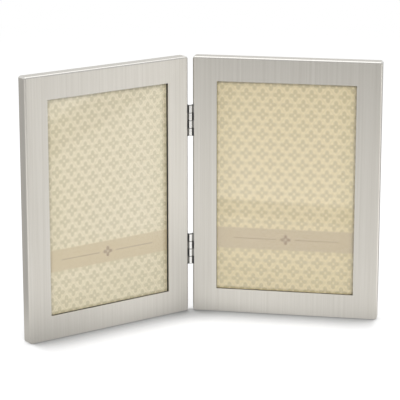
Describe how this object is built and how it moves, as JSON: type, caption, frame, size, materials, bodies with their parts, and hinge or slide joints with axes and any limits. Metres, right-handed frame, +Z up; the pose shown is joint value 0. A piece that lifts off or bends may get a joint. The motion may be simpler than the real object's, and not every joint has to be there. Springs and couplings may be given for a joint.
{
  "type": "hinged double photo frame",
  "caption": "Hinged double photo frame: two pressed, brushed metal frames for 4 x 6 inch photos on knuckle hinges, with glass, printed cards, velvet backs and turn buttons",
  "frame": {"origin": "the middle of the outline box at table height: the pair's bottom walls stand on z = 0, the plane of the two hinge pins is x = 0, and the box is centred on y = 0", "axes": "+X to the right of someone who faces the fronts, across both frames. -Y towards the viewer, where the V opens. +Z up"},
  "size_m": [0.2428, 0.0567, 0.1778],
  "materials": {
    "brushed_shell": "satin, vertically brushed",
    "black_liner": "moulded, fine grain",
    "glass": "polished, ground arrises",
    "printed_card": "uncoated, printed",
    "hardboard": "pressed fibre",
    "black_velvet": "short pile velvet",
    "turn_button": "tumbled",
    "screws": "bright zinc",
    "hinge": "bright nickel plate"
  },
  "bodies": {
    "left_frame": {"left_face_shell": "brushed_shell", "left_liner": "black_liner", "left_glass": "glass", "left_insert_card": "printed_card", "left_backing_board": "hardboard", "left_velvet_cover": "black_velvet", "left_button_screws": "screws", "left_upper_hinge_leaf": "hinge", "left_lower_hinge_leaf": "hinge", "left_leaf_screws": "screws", "upper_hinge_pin": "hinge", "lower_hinge_pin": "hinge"},
    "right_frame": {"right_face_shell": "brushed_shell", "right_liner": "black_liner", "right_glass": "glass", "right_insert_card": "printed_card", "right_backing_board": "hardboard", "right_velvet_cover": "black_velvet", "right_button_screws": "screws", "right_upper_hinge_leaf": "hinge", "right_lower_hinge_leaf": "hinge", "right_leaf_screws": "screws"},
    "left_top_button": {"left_top_button": "turn_button"},
    "left_bottom_button": {"left_bottom_button": "turn_button"},
    "left_hinge_side_button": {"left_hinge_side_button": "turn_button"},
    "left_outer_button": {"left_outer_button": "turn_button"},
    "right_top_button": {"right_top_button": "turn_button"},
    "right_bottom_button": {"right_bottom_button": "turn_button"},
    "right_hinge_side_button": {"right_hinge_side_button": "turn_button"},
    "right_outer_button": {"right_outer_button": "turn_button"}
  },
  "joints": [
    {"name": "fold", "type": "hinge", "parent": "left_frame", "child": "right_frame", "pos_m": [0, 0.02121, 0.0889], "axis": [0, 0, 1], "range_deg": [-134, 65]},
    {"name": "left_top_button_swivel", "type": "hinge", "parent": "left_frame", "child": "left_top_button", "pos_m": [-0.06273, 0.00251, 0.17075], "axis": [-0.3907, 0.9205, 0], "range_deg": [-105, 105]},
    {"name": "left_bottom_button_swivel", "type": "hinge", "parent": "left_frame", "child": "left_bottom_button", "pos_m": [-0.06273, 0.00251, 0.00705], "axis": [-0.3907, 0.9205, 0], "range_deg": [-105, 105]},
    {"name": "left_hinge_side_button_swivel", "type": "hinge", "parent": "left_frame", "child": "left_hinge_side_button", "pos_m": [-0.01077, 0.02457, 0.0889], "axis": [-0.3907, 0.9205, 0], "range_deg": [-105, 105]},
    {"name": "left_outer_button_swivel", "type": "hinge", "parent": "left_frame", "child": "left_outer_button", "pos_m": [-0.11469, -0.01954, 0.0889], "axis": [-0.3907, 0.9205, 0], "range_deg": [-105, 105]},
    {"name": "right_top_button_swivel", "type": "hinge", "parent": "right_frame", "child": "right_top_button", "pos_m": [0.06273, 0.00251, 0.17075], "axis": [0.3907, 0.9205, 0], "range_deg": [-105, 105]},
    {"name": "right_bottom_button_swivel", "type": "hinge", "parent": "right_frame", "child": "right_bottom_button", "pos_m": [0.06273, 0.00251, 0.00705], "axis": [0.3907, 0.9205, 0], "range_deg": [-105, 105]},
    {"name": "right_hinge_side_button_swivel", "type": "hinge", "parent": "right_frame", "child": "right_hinge_side_button", "pos_m": [0.01077, 0.02457, 0.0889], "axis": [0.3907, 0.9205, 0], "range_deg": [-105, 105]},
    {"name": "right_outer_button_swivel", "type": "hinge", "parent": "right_frame", "child": "right_outer_button", "pos_m": [0.11469, -0.01954, 0.0889], "axis": [0.3907, 0.9205, 0], "range_deg": [-105, 105]}
  ]
}
